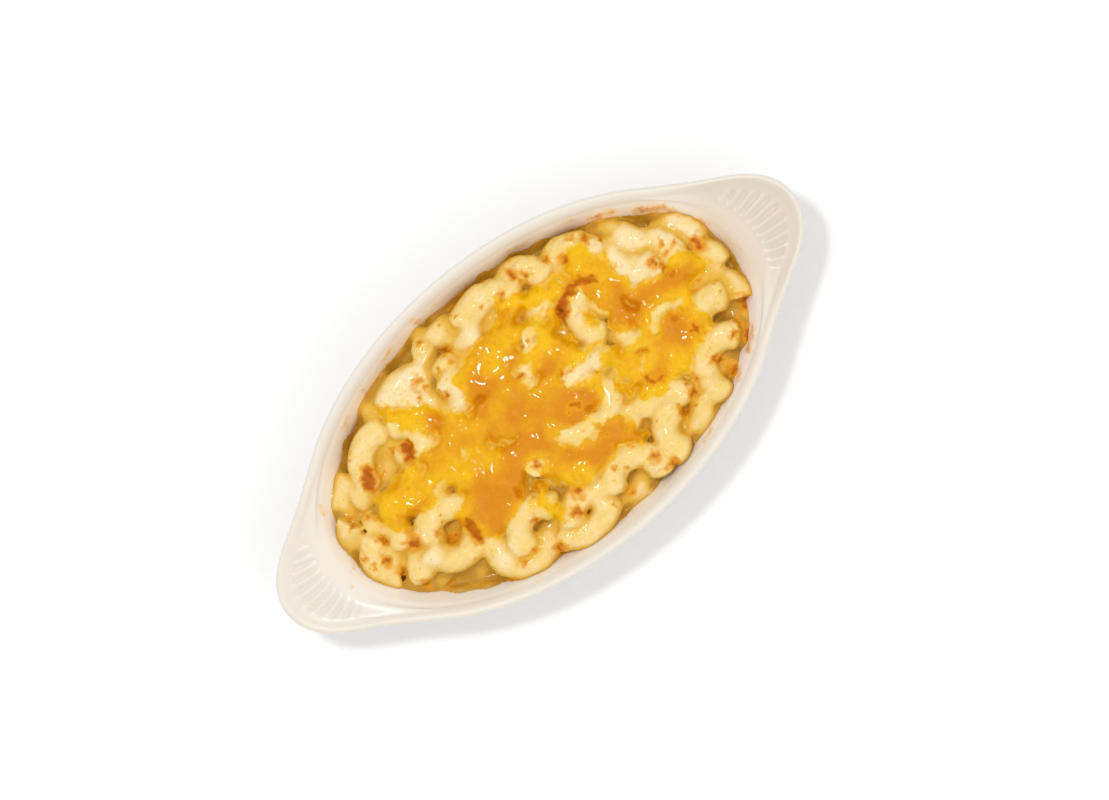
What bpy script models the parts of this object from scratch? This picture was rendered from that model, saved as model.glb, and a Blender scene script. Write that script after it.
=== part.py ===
"""Macaroni and cheese baked in an oval dish with two fluted ears.

One serving in its dish, in four solids: the glazed dish, the cheese sauce
that fills its bottom, the heap of elbow macaroni that stands out of the
sauce, and the sheet of cheddar that has melted over the heap.
X runs along the dish from ear to ear, Z is up, and the origin is on the
table under the middle of the foot. All lengths are in metres.
"""

import math

import bmesh
import bpy

# Driving dimensions of the dish
BOWL_HALF_LENGTH = 0.09324    # the rim's oval, without the ears
BOWL_HALF_WIDTH = 0.05443
EAR_CENTRE = 0.0989           # the circle that rounds off each ear
EAR_RADIUS = 0.00898
EAR_BLEND = 0.0366            # how softly the ear runs into the oval
EAR_REACH = 0.0179            # from the rim's oval to the tip of the ear
DISH_HEIGHT = 0.0325
FLUTE_PITCH = 5.0             # degrees between the grooves of an ear's fan
FLUTE_COUNT = 11
FLUTE_DEPTH = 0.0008

# Driving dimensions of the food
GAP = 0.0003                  # clearance between neighbouring solids
SAUCE_LEVEL = 0.0200
HEAP_EDGE_HEIGHT = 0.0232     # the heap where it meets the wall
HEAP_RISE = 0.0112            # how much higher its middle stands
LUMP_HEIGHT = 0.0015
CHEDDAR_THICKNESS = 0.0018
CHEDDAR_EDGE_THICKNESS = 0.0008
FOOD_COLUMNS = 72

# The cheddar's outline: direction in degrees and reach in millimetres,
# both from the middle of the melted sheet.
CHEDDAR_MIDDLE = (0.005, -0.002)
CHEDDAR_LOBES = (
    (0, 66), (14, 53), (27, 50), (39, 46), (52, 37), (66, 35), (82, 38),
    (100, 33), (117, 30), (131, 34), (144, 51), (153, 42), (166, 55),
    (177, 63), (190, 56), (202, 50), (216, 45), (231, 38), (248, 33),
    (266, 27), (287, 30), (306, 31), (322, 42), (334, 52), (347, 57),
)

# Profile of the dish from the rim's edge over the lip and down the inside.
# Each station is (offset, drop) on the long sides, then (offset, drop)
# on the ears, in millimetres. Offsets run outward from the rim's oval, and
# an ear's offset marked "tip" is measured back from the ear's own edge.
LIP_STATIONS = (
    ((0.0, 1.6), ("tip", 0.0, 1.6)),
    ((-0.8, 0.25), ("tip", -0.6, 0.35)),
    ((-1.6, 0.0), ("tip", -1.4, 0.0)),
    ((-2.2, 0.05), ("tip", -2.3, 0.7)),
    ((-2.6, 0.15), ("tip", -2.9, 1.2)),
    ((-3.0, 0.35), ("tip", -4.0, 0.6)),
    ((-3.4, 0.6), ("tip", -5.3, 0.9)),
    ((-3.7, 0.95), ("root", -0.4, 1.3)),
    ((-4.0, 1.4), ("root", -1.9, 1.5)),
)
FLUTED_STATIONS = (6, 7)

# Below the lip the cavity is a stack of ovals: (narrowing of the half
# length, narrowing of the half width, drop below the rim).
CAVITY_OVALS = (
    (6.0, 4.5, 2.3),
    (7.6, 5.5, 4.2),
    (10.8, 8.2, 9.0),
    (14.8, 12.0, 16.5),
    (18.4, 15.2, 22.0),
    (22.5, 19.0, 26.2),
    (29.0, 25.0, 28.0),
)

# Underside, from the rim's edge to the root of the ears, then the outer
# wall and the foot as ovals again.
UNDER_STATIONS = (
    ((-0.1, 3.0), ("tip", -0.2, 3.4)),
    ((-1.0, 4.6), ("tip", -1.6, 4.6)),
    ((-2.0, 6.6), ("tip", -5.6, 5.2)),
    ((-2.9, 8.6), ("root", -1.0, 6.4)),
)
WALL_OVALS = (
    (6.0, 5.2, 13.0),
    (10.5, 8.6, 20.0),
    (15.5, 12.4, 27.0),
    (18.2, 14.8, 31.2),
    (19.2, 15.8, 32.5),
    (22.2, 18.8, 32.5),
    (23.2, 19.8, 31.3),
)


def rim_field(x, y):
    """Below zero inside the rim's outline, about the distance to it."""
    near = math.hypot(x / BOWL_HALF_LENGTH, y / BOWL_HALF_WIDTH)
    slope = math.hypot(x / BOWL_HALF_LENGTH ** 2, y / BOWL_HALF_WIDTH ** 2)
    bowl = near * (near - 1.0) / slope
    ear = math.hypot(abs(x) - EAR_CENTRE, y) - EAR_RADIUS
    blend = max(EAR_BLEND - abs(bowl - ear), 0.0) / EAR_BLEND
    return min(bowl, ear) - blend * blend * EAR_BLEND / 4.0


def rim_frame(t):
    """Point on the rim's oval, its outward normal and the edge's distance."""
    x = BOWL_HALF_LENGTH * math.cos(t)
    y = BOWL_HALF_WIDTH * math.sin(t)
    nx = math.cos(t) / BOWL_HALF_LENGTH
    ny = math.sin(t) / BOWL_HALF_WIDTH
    size = math.hypot(nx, ny)
    nx /= size
    ny /= size
    low = 0.0
    high = 0.03
    for _ in range(40):
        middle = (low + high) / 2.0
        if rim_field(x + nx * middle, y + ny * middle) < 0.0:
            low = middle
        else:
            high = middle
    return x, y, nx, ny, low


def dish_columns():
    """Eccentric angles: two to each flute, wider apart on the long sides."""
    ratio = BOWL_HALF_WIDTH / BOWL_HALF_LENGTH
    half_fan = FLUTE_COUNT * FLUTE_PITCH / 2.0
    fan = []
    for step in range(2 * FLUTE_COUNT + 1):
        slant = math.radians(-half_fan + step * FLUTE_PITCH / 2.0)
        fan.append((math.atan(ratio * math.tan(slant)), step))
    last = fan[-1][0]
    count = 10
    side = []
    for step in range(1, 2 * count):
        side.append((last + (math.pi - 2.0 * last) * step / (2 * count), 0))
    columns = fan + side
    for angle, step in fan + side:
        columns.append((angle + math.pi, step))
    return columns


def station_ring(station, columns, flutes=False):
    """One loop round the rim, blended from the long sides to the ears."""
    (side_offset, side_drop), (kind, ear_offset, ear_drop) = station
    ring = []
    for t, step in columns:
        x, y, nx, ny, reach = rim_frame(t)
        share = min(reach / EAR_REACH, 1.0)
        share = share * share * (3.0 - 2.0 * share)
        offset = (side_offset * (1.0 - share) + ear_offset * share) / 1000.0
        if kind == "tip":
            offset += reach
        drop = side_drop / 1000.0 * (1.0 - share) + ear_drop / 1000.0 * share
        if flutes and step % 2 == 1:
            drop += FLUTE_DEPTH * min(1.0, max(0.0, (share - 0.25) * 2.0))
        point = (x + nx * offset, y + ny * offset, DISH_HEIGHT - drop)
        ring.append(point)
    return ring


def oval_ring(oval, columns):
    """One loop of the cavity, the outer wall or the foot."""
    end, side, drop = oval
    a = BOWL_HALF_LENGTH - end / 1000.0
    b = BOWL_HALF_WIDTH - side / 1000.0
    z = DISH_HEIGHT - drop / 1000.0
    return [(a * math.cos(t), b * math.sin(t), z) for t, _ in columns]


def cavity_half_axes(z):
    """Half length and half width of the dish's inside at height z."""
    for upper, lower in zip(CAVITY_OVALS, CAVITY_OVALS[1:]):
        z_upper = DISH_HEIGHT - upper[2] / 1000.0
        z_lower = DISH_HEIGHT - lower[2] / 1000.0
        if z_lower <= z <= z_upper:
            share = (z_upper - z) / (z_upper - z_lower)
            end = upper[0] + (lower[0] - upper[0]) * share
            side = upper[1] + (lower[1] - upper[1]) * share
            return BOWL_HALF_LENGTH - end / 1000.0, BOWL_HALF_WIDTH - side / 1000.0
    raise ValueError("height outside the cavity")


def skin_rings(name, rings, top_centre, bottom_centre):
    """Closed body from loops that run from the top's middle to the bottom's."""
    mesh_data = bmesh.new()
    loops = [[mesh_data.verts.new(point) for point in ring] for ring in rings]
    count = len(rings[0])
    for upper, lower in zip(loops, loops[1:]):
        for i in range(count):
            j = (i + 1) % count
            mesh_data.faces.new((upper[i], lower[i], lower[j], upper[j]))
    top = mesh_data.verts.new(top_centre)
    bottom = mesh_data.verts.new(bottom_centre)
    for i in range(count):
        j = (i + 1) % count
        mesh_data.faces.new((top, loops[0][i], loops[0][j]))
        mesh_data.faces.new((bottom, loops[-1][j], loops[-1][i]))
    bmesh.ops.triangulate(mesh_data, faces=mesh_data.faces[:])
    bmesh.ops.recalc_face_normals(mesh_data, faces=mesh_data.faces[:])
    mesh = bpy.data.meshes.new(name)
    mesh_data.to_mesh(mesh)
    mesh_data.free()
    piece = bpy.data.objects.new(name, mesh)
    bpy.context.scene.collection.objects.link(piece)
    mesh.shade_smooth()
    mesh.set_sharp_from_angle(angle=math.radians(40.0))
    return piece


def give_material(piece, name, colour, roughness, metallic=0.0):
    """Principled material of one piece's own."""
    material = bpy.data.materials.new(name)
    material.use_nodes = True
    shader = material.node_tree.nodes["Principled BSDF"]
    shader.inputs["Base Color"].default_value = (*colour, 1.0)
    shader.inputs["Roughness"].default_value = roughness
    shader.inputs["Metallic"].default_value = metallic
    material.diffuse_color = (*colour, 1.0)
    piece.data.materials.append(material)


def lumps(x, y):
    """Uneven height of the heap, about one lump to each elbow."""
    u = x * 1000.0
    v = y * 1000.0
    broad = math.sin(u / 4.1 + 1.7 * math.sin(v / 7.3)) * math.cos(v / 3.7 + 0.9 * math.sin(u / 9.0))
    fine = math.sin((u + v) / 2.6 + 0.8) * math.sin((u - 1.3 * v) / 3.1)
    return LUMP_HEIGHT * (0.75 * broad + 0.35 * fine)


def heap_edge(t, z):
    """Outline of the heap at height z, scalloped by the elbows at its edge."""
    a, b = cavity_half_axes(z)
    scallop = 0.5 + 0.5 * math.sin(17.0 * t + 1.4 * math.sin(5.0 * t + 0.6))
    hollow = 0.5 + 0.5 * math.sin(6.0 * t + 2.1)
    inset = 0.0005 + 0.0014 * scallop * scallop + 0.0008 * hollow
    return (a - inset) * math.cos(t), (b - inset) * math.sin(t)


def heap_height(x, y):
    """Top of the heap over the point x, y."""
    a, b = cavity_half_axes(HEAP_EDGE_HEIGHT)
    rho = min(math.hypot(x / a, y / b), 1.0)
    calm = min(1.0, (1.0 - rho) * 6.0)
    return HEAP_EDGE_HEIGHT + HEAP_RISE * (1.0 - rho ** 2.1) + lumps(x, y) * calm


def cheddar_reach(direction):
    """Smooth closed curve through the cheddar's lobes."""
    angle = math.degrees(direction) % 360.0
    count = len(CHEDDAR_LOBES)
    for i in range(count):
        start = CHEDDAR_LOBES[i][0]
        end = CHEDDAR_LOBES[(i + 1) % count][0]
        if i == count - 1:
            end += 360.0
        if start <= angle < end:
            break
    before, here, there, after = (CHEDDAR_LOBES[(i + k) % count][1] for k in (-1, 0, 1, 2))
    s = (angle - start) / (end - start)
    slope_here = (there - before) / 2.0
    slope_there = (after - here) / 2.0
    value = (2 * s ** 3 - 3 * s ** 2 + 1) * here + (s ** 3 - 2 * s ** 2 + s) * slope_here
    value += (3 * s ** 2 - 2 * s ** 3) * there + (s ** 3 - s ** 2) * slope_there
    return value / 1000.0


def food_spokes():
    """Middle, cheddar edge and heap edge along each direction of the food."""
    spokes = []
    for i in range(FOOD_COLUMNS):
        t = 2.0 * math.pi * i / FOOD_COLUMNS
        edge_x, edge_y = heap_edge(t, HEAP_EDGE_HEIGHT - 0.0006)
        dx = edge_x - CHEDDAR_MIDDLE[0]
        dy = edge_y - CHEDDAR_MIDDLE[1]
        length = math.hypot(dx, dy)
        reach = min(cheddar_reach(math.atan2(dy, dx)), length - 0.006)
        melt_x = CHEDDAR_MIDDLE[0] + dx / length * reach
        melt_y = CHEDDAR_MIDDLE[1] + dy / length * reach
        spokes.append((t, (melt_x, melt_y), (edge_x, edge_y)))
    return spokes


def between(start, end, share):
    """Point part of the way from start to end."""
    return start[0] + (end[0] - start[0]) * share, start[1] + (end[1] - start[1]) * share


# Start from an empty scene
for old in list(bpy.data.objects):
    bpy.data.objects.remove(old, do_unlink=True)

# Dish: one hollow body from the cavity's floor, over the lip and ears,
# down the outer wall to the foot
columns = dish_columns()
inside = [oval_ring(oval, columns) for oval in reversed(CAVITY_OVALS)]
lip = []
for number in reversed(range(len(LIP_STATIONS))):
    lip.append(station_ring(LIP_STATIONS[number], columns, number in FLUTED_STATIONS))
under = [station_ring(station, columns) for station in UNDER_STATIONS]
outside = [oval_ring(oval, columns) for oval in WALL_OVALS]
floor_z = DISH_HEIGHT - CAVITY_OVALS[-1][2] / 1000.0
base_z = DISH_HEIGHT - WALL_OVALS[-1][2] / 1000.0
dish = skin_rings("dish", inside + lip + under + outside, (0.0, 0.0, floor_z), (0.0, 0.0, base_z))
give_material(dish, "dish_glaze", (0.84, 0.80, 0.73), 0.18)

# Cheese sauce: fills the dish's bottom up to its level, one gap inside the
# walls and above the floor
sauce_rings = []
food_angles = [2.0 * math.pi * i / FOOD_COLUMNS for i in range(FOOD_COLUMNS)]
sauce_heights = [SAUCE_LEVEL, 0.0162, 0.0104, 0.0064, floor_z + GAP]
for number, height in enumerate(sauce_heights):
    a, b = cavity_half_axes(height)
    inset = 3.0 * GAP if number >= 3 else 2.0 * GAP
    ring = [((a - inset) * math.cos(t), (b - inset) * math.sin(t), height) for t in food_angles]
    sauce_rings.append(ring)
sauce = skin_rings("cheese_sauce", sauce_rings, (0.0, 0.0, SAUCE_LEVEL), (0.0, 0.0, floor_z + GAP))
give_material(sauce, "sauce_surface", (0.62, 0.38, 0.11), 0.35)

# Macaroni: one uneven heap that stands on the sauce, its loops laid so
# that one of them is the cheddar's outline
spokes = food_spokes()
middle_z = heap_height(*CHEDDAR_MIDDLE)
heap_rings = []
melt_shares = (0.14, 0.29, 0.43, 0.57, 0.71, 0.86, 1.0)
for share in melt_shares:
    ring = []
    for _, melt, _ in spokes:
        x, y = between(CHEDDAR_MIDDLE, melt, share)
        ring.append((x, y, heap_height(x, y)))
    heap_rings.append(ring)
for share in (0.25, 0.48, 0.69, 0.85, 0.95):
    ring = []
    for _, melt, edge in spokes:
        x, y = between(melt, edge, share)
        ring.append((x, y, heap_height(x, y)))
    heap_rings.append(ring)
for height in (HEAP_EDGE_HEIGHT - 0.0006, SAUCE_LEVEL + GAP):
    heap_rings.append([(*heap_edge(t, height), height) for t, _, _ in spokes])
heap = skin_rings("macaroni", heap_rings, (*CHEDDAR_MIDDLE, middle_z), (0.0, 0.0, SAUCE_LEVEL + GAP))
give_material(heap, "macaroni_surface", (0.85, 0.61, 0.28), 0.45)

# Melted cheddar: a thin sheet draped over the heap, on the same loops, so
# that it follows every lump one gap above it
upper_rings = []
lower_rings = []
for share in melt_shares:
    upper = []
    lower = []
    thickness = CHEDDAR_EDGE_THICKNESS
    thickness += (CHEDDAR_THICKNESS - CHEDDAR_EDGE_THICKNESS) * (1.0 - share ** 4)
    for _, melt, _ in spokes:
        x, y = between(CHEDDAR_MIDDLE, melt, share)
        z = heap_height(x, y) + GAP * 1.4
        lower.append((x, y, z))
        upper.append((x, y, z + thickness))
    upper_rings.append(upper)
    lower_rings.append(lower)
lower_middle = (*CHEDDAR_MIDDLE, middle_z + GAP * 1.4)
upper_middle = (*CHEDDAR_MIDDLE, middle_z + GAP * 1.4 + CHEDDAR_THICKNESS)
cheddar = skin_rings("melted_cheddar", upper_rings + lower_rings[::-1], upper_middle, lower_middle)
give_material(cheddar, "cheddar_surface", (0.83, 0.40, 0.02), 0.30)
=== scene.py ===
"""Macaroni and cheese in its oval dish: the finished looks, built on the CAD frame."""

import math
import random

import bmesh
import bpy
import numpy as np
import openvdb
from mathutils import Matrix, Vector


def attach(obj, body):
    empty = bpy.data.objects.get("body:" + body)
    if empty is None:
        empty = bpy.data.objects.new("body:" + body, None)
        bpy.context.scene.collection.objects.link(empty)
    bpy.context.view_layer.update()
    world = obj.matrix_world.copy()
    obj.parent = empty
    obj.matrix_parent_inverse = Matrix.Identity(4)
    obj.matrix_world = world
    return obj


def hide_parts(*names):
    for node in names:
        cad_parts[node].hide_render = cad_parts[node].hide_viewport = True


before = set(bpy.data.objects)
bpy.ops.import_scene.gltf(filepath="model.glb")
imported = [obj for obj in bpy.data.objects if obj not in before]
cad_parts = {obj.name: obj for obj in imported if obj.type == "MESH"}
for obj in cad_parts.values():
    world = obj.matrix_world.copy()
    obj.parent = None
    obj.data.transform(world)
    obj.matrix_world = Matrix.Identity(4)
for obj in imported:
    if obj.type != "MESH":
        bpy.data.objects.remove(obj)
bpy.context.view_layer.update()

# ---------------------------------------------------------------------------
# Camera and light. The dish is seen from nearly straight above, its long
# axis rising to the right. A small lamp up and to the left stands for a
# window, and a broad one opposite for the light that the room throws back.
# ---------------------------------------------------------------------------
DISH_TURN = math.radians(39.85)
VIEW_RIGHT = Vector((math.cos(DISH_TURN), -math.sin(DISH_TURN), 0.0))
VIEW_UP = Vector((math.sin(DISH_TURN), math.cos(DISH_TURN), 0.0))
STRAIGHT_UP = Vector((0.0, 0.0, 1.0))
RIM_HEIGHT = 0.0325
AIM_RIGHT = 0.0058
AIM_UP = 0.0019
FRAME_WIDTH = 0.3717
LENS = 110.0
SENSOR = 36.0
CAMERA_LEAN = math.radians(6.0)
LEAN_WAY = (VIEW_RIGHT * 0.96 + VIEW_UP * 0.28).normalized()
LAMP_TARGET = STRAIGHT_UP * 0.02

look_at = VIEW_RIGHT * AIM_RIGHT + VIEW_UP * AIM_UP + STRAIGHT_UP * RIM_HEIGHT
camera_data = bpy.data.cameras.new("camera")
camera_data.lens = LENS
camera_data.sensor_width = SENSOR
camera_data.clip_start = 0.05
camera_data.clip_end = 20.0
camera = bpy.data.objects.new("camera", camera_data)
bpy.context.scene.collection.objects.link(camera)
back = (STRAIGHT_UP * math.cos(CAMERA_LEAN) + LEAN_WAY * math.sin(CAMERA_LEAN)).normalized()
across = VIEW_UP.cross(back).normalized()
upward = back.cross(across).normalized()
camera.rotation_mode = "QUATERNION"
rows = (
    (across.x, upward.x, back.x),
    (across.y, upward.y, back.y),
    (across.z, upward.z, back.z),
)
camera.rotation_quaternion = Matrix(rows).to_quaternion()
camera.location = look_at + back * (FRAME_WIDTH * LENS / SENSOR)
bpy.context.scene.camera = camera
bpy.context.scene.view_settings.view_transform = "Standard"


def lamp(name, away, height, size, power):
    """Round soft lamp that looks at the dish."""
    data = bpy.data.lights.new(name, "AREA")
    data.shape = "DISK"
    data.size = size
    data.energy = power
    thing = bpy.data.objects.new(name, data)
    bpy.context.scene.collection.objects.link(thing)
    thing.location = away + STRAIGHT_UP * height
    aim = LAMP_TARGET - thing.location
    thing.rotation_mode = "QUATERNION"
    thing.rotation_quaternion = aim.to_track_quat("-Z", "Y")


lamp("window", VIEW_RIGHT * -0.25 + VIEW_UP * 0.27, 1.35, 0.16, 5.6)
lamp("bounce", VIEW_RIGHT * 0.75 + VIEW_UP * -0.45, 1.1, 1.2, 2.8)

world = bpy.data.worlds.new("studio")
bpy.context.scene.world = world
world.use_nodes = True
sky = world.node_tree.nodes["Background"]
sky.inputs["Color"].default_value = (1.0, 0.99, 0.97, 1.0)
sky.inputs["Strength"].default_value = 0.77


# ---------------------------------------------------------------------------
# Floor: a plain pale studio surface under the dish, one flat square. It isn't
# part of the object.
# ---------------------------------------------------------------------------
FLOOR_HALF = 3.0


class Tone:
    """One socket of a material; sums written with Tones add Math nodes."""

    def __init__(self, tree, socket=None):
        self.tree = tree
        self.socket = socket

    def node(self, kind, settings, links, out=0):
        """Any other node: its type, its settings, then its sockets."""
        made = self.tree.nodes.new(kind)
        for name, value in settings.items():
            setattr(made, name, value)
        for name, value in links.items():
            if isinstance(value, Tone):
                self.tree.links.new(value.socket, made.inputs[name])
            else:
                made.inputs[name].default_value = value
        return Tone(self.tree, made.outputs[out])

    def math(self, operation, first, second):
        return self.node("ShaderNodeMath", {"operation": operation}, {0: first, 1: second})

    def __add__(self, other):
        return self.math("ADD", self, other)

    def __sub__(self, other):
        return self.math("SUBTRACT", self, other)

    def __rsub__(self, other):
        return self.math("SUBTRACT", other, self)

    def __mul__(self, other):
        return self.math("MULTIPLY", self, other)

    __radd__ = __add__
    __rmul__ = __mul__

    def step(self, low, high):
        """Soft step from 0 at low to 1 at high."""
        return self.node("ShaderNodeMapRange", {"interpolation_type": "SMOOTHSTEP"},
                         {"Value": self, "From Min": low, "From Max": high})

    def blend(self, first, second):
        """Colour mix with this Tone as the factor."""
        first = first if isinstance(first, Tone) else (*first, 1.0)
        second = second if isinstance(second, Tone) else (*second, 1.0)
        return self.node("ShaderNodeMix", {"data_type": "RGBA"}, {0: self, 6: first, 7: second}, out=2)

    def noise(self, place, scale, detail, roughness=0.5):
        return self.node("ShaderNodeTexNoise", {}, {
            "Vector": place, "Scale": scale, "Detail": detail, "Roughness": roughness})

    def place(self):
        """Position on the piece, in metres."""
        return self.node("ShaderNodeTexCoord", {}, {}, out="Object")

    def painted(self, name):
        """A value worked out point by point when the piece was made."""
        return self.node("ShaderNodeAttribute", {"attribute_name": name}, {}, out="Fac")

    def bump(self, height, strength, distance):
        return self.node("ShaderNodeBump", {}, {
            "Height": height, "Strength": strength, "Distance": distance})


def finish(name, constants):
    """New material; gives it, its tone maker and a way to feed its shader."""
    material = bpy.data.materials.new(name)
    material.use_nodes = True
    tree = material.node_tree
    shader = tree.nodes["Principled BSDF"]
    for socket, value in constants.items():
        shader.inputs[socket].default_value = value

    def feed(**tones):
        for socket, tone in tones.items():
            tree.links.new(tone.socket, shader.inputs[socket.replace("_", " ")])
    return material, Tone(tree), feed


floor_paint, tone, feed = finish("floor_paint", {"Roughness": 0.9, "Specular IOR Level": 0.1})
grain = tone.noise(tone.place(), 3.0, 3.0)
feed(Base_Color=grain.blend((0.925, 0.935, 0.955), (0.945, 0.955, 0.97)))
floor_shape = bmesh.new()
for side_x, side_y in ((-1, -1), (1, -1), (1, 1), (-1, 1)):
    floor_shape.verts.new((side_x * FLOOR_HALF, side_y * FLOOR_HALF, 0.0))
floor_shape.faces.new(floor_shape.verts)
floor_mesh = bpy.data.meshes.new("studio_floor")
floor_shape.to_mesh(floor_mesh)
floor_shape.free()
floor_mesh.materials.append(floor_paint)
studio_floor = bpy.data.objects.new("studio_floor", floor_mesh)
bpy.context.scene.collection.objects.link(studio_floor)

# ---------------------------------------------------------------------------
# Dish: stoneware cast in one piece, hollow, with a rounded lip, a fluted ear
# at each end inside a bead that runs round the ear's edge, and a flat foot
# ring; dipped in an off-white glaze.
# ---------------------------------------------------------------------------
MM = 0.001
BOWL_A = 93.24
BOWL_B = 54.43
EAR_CENTRE = 98.9
EAR_RADIUS = 8.98
EAR_BLEND = 36.6
EAR_REACH = 17.9
RIM = 32.5
FLUTE_PITCH = 5.0
FLUTES = 11
FLUTE_DEPTH = 0.6
BEAD = 5.4

# Stations from the middle of the cavity's floor, up the inside, over the
# lip, down the outer wall and under the foot. The ovals have an end inset, a
# side inset and a drop below the rim. The lip has an offset and a drop on the
# long sides, then the same on the ears, measured from their root or their tip.
CAVITY = (
    (60.0, 42.0, 28.0), (45.0, 34.0, 28.0), (34.0, 28.5, 28.0), (28.0, 24.3, 27.7), (22.5, 19.0, 26.0),
    (18.4, 15.0, 22.0), (14.8, 11.6, 16.5), (10.9, 7.6, 9.0), (7.2, 5.5, 4.2),
)
LIP = (
    (-4.45, 2.4, "root", -4.0, 2.45), (-3.95, 1.6, "root", 0.6, 1.42), (-3.4, 1.0, "tip", -8.0, 1.05),
    (-2.9, 0.58, "tip", -6.0, 1.0), (-2.4, 0.28, "tip", -4.0, 0.62), (-1.9, 0.1, "tip", -2.6, 0.2),
    (-1.35, 0.0, "tip", -1.5, 0.02), (-0.6, 0.28, "tip", -0.6, 0.35), (0.0, 1.5, "tip", 0.0, 1.5),
    (-0.1, 3.0, "tip", -0.2, 3.2), (-1.0, 4.7, "tip", -1.5, 4.5), (-2.0, 6.7, "tip", -5.6, 5.3),
    (-2.9, 8.6, "root", -1.0, 6.6),
)
OUTSIDE = (
    (6.0, 5.2, 13.0), (10.5, 8.6, 20.0), (15.5, 12.4, 27.0), (18.2, 14.8, 31.2), (19.2, 15.8, 32.45),
    (20.4, 17.0, 32.5), (22.0, 18.6, 32.5), (23.2, 19.8, 31.4), (30.0, 26.0, 31.3), (50.0, 38.0, 31.3),
)
CROWN_STATION = len(CAVITY) + 6


def rim_field(x, y):
    """Below zero inside the rim's outline, about the distance to it."""
    near = np.hypot(x / BOWL_A, y / BOWL_B)
    slope = np.hypot(x / BOWL_A ** 2, y / BOWL_B ** 2)
    bowl = near * (near - 1.0) / slope
    ear = np.hypot(np.abs(x) - EAR_CENTRE, y) - EAR_RADIUS
    soft = np.maximum(EAR_BLEND - np.abs(bowl - ear), 0.0) / EAR_BLEND
    return np.minimum(bowl, ear) - soft * soft * EAR_BLEND / 4.0


def ease(share):
    """Soft start and stop between 0 and 1."""
    return share * share * (3.0 - 2.0 * share)


def clamp(value):
    return np.clip(value, 0.0, 1.0)


half_fan = FLUTES * FLUTE_PITCH / 2.0
fan = np.radians(np.linspace(-half_fan - 3.0, half_fan + 3.0, 141))
fan = np.arctan(BOWL_B / BOWL_A * np.tan(fan))
side = np.linspace(fan[-1], math.pi - fan[-1], 112)[1:-1]
angles = np.concatenate([fan, side])
angles = np.concatenate([angles, angles + math.pi])
edge_x = BOWL_A * np.cos(angles)
edge_y = BOWL_B * np.sin(angles)
out_x = np.cos(angles) / BOWL_A
out_y = np.sin(angles) / BOWL_B
steepness = np.hypot(out_x, out_y)
out_x = out_x / steepness
out_y = out_y / steepness
slant = np.degrees(np.arctan2(out_y, np.abs(out_x)))

# How far the ears reach out from the oval, found by halving
reach = np.zeros_like(angles)
too_far = np.full_like(angles, 30.0)
for _ in range(40):
    halfway = (reach + too_far) / 2.0
    inside = rim_field(edge_x + out_x * halfway, edge_y + out_y * halfway) < 0.0
    reach = np.where(inside, halfway, reach)
    too_far = np.where(inside, too_far, halfway)
ear_share = ease(np.minimum(reach / EAR_REACH, 1.0))


def level_oval(end_inset, side_inset, drop):
    """Points of one level oval, a given way inside the rim's oval."""
    return ((BOWL_A - end_inset) * np.cos(angles), (BOWL_B - side_inset) * np.sin(angles),
            np.full_like(angles, RIM - drop))


stations = [level_oval(*measures) for measures in CAVITY]
for side_offset, side_drop, kind, ear_offset, ear_drop in LIP:
    offset = side_offset * (1.0 - ear_share) + ear_offset * ear_share + (reach if kind == "tip" else 0.0)
    drop = side_drop * (1.0 - ear_share) + ear_drop * ear_share
    stations.append((edge_x + out_x * offset, edge_y + out_y * offset, RIM - drop))
stations += [level_oval(*measures) for measures in OUTSIDE]
stations = np.array(stations)

# Smooth curves through the stations, with more rings over the lip
rings = []
for i in range(len(stations) - 1):
    before = stations[max(i - 1, 0)]
    here = stations[i]
    there = stations[i + 1]
    after = stations[min(i + 2, len(stations) - 1)]
    steps = 7 if len(CAVITY) <= i + 1 <= len(CAVITY) + 9 else 4
    if i == CROWN_STATION:
        crown = len(rings)
    for step in range(steps):
        s = step / steps
        gap_now = np.sqrt(np.sum((there - here) ** 2, axis=0)) + 1e-6
        gap_before = np.sqrt(np.sum((here - before) ** 2, axis=0)) + 1e-6
        gap_after = np.sqrt(np.sum((after - there) ** 2, axis=0)) + 1e-6
        slope_here = (there - before) / (gap_now + gap_before) * gap_now
        slope_there = (after - here) / (gap_now + gap_after) * gap_now
        rings.append((2 * s ** 3 - 3 * s ** 2 + 1) * here + (s ** 3 - 2 * s ** 2 + s) * slope_here
                     + (3 * s ** 2 - 2 * s ** 3) * there + (s ** 3 - s ** 2) * slope_there)
rings.append(stations[-1])
rings = np.array(rings)

# The flutes are pressed into the ears between the bowl and the bead
along = (rings[:, 0] - edge_x) * out_x + (rings[:, 1] - edge_y) * out_y
top_side = rings[:, 2] > RIM - 3.0
groove = 0.5 + 0.5 * np.cos(np.radians(slant / FLUTE_PITCH * 360.0))
within = clamp((half_fan - 1.0 - np.abs(slant)) / 2.5)
fluted = ease(clamp((along + 1.5) / 6.0)) * ease(clamp((reach - BEAD - along) / 2.4)) * within
rings[:, 2] -= np.where(top_side, FLUTE_DEPTH * groove * fluted, 0.0)


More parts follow.
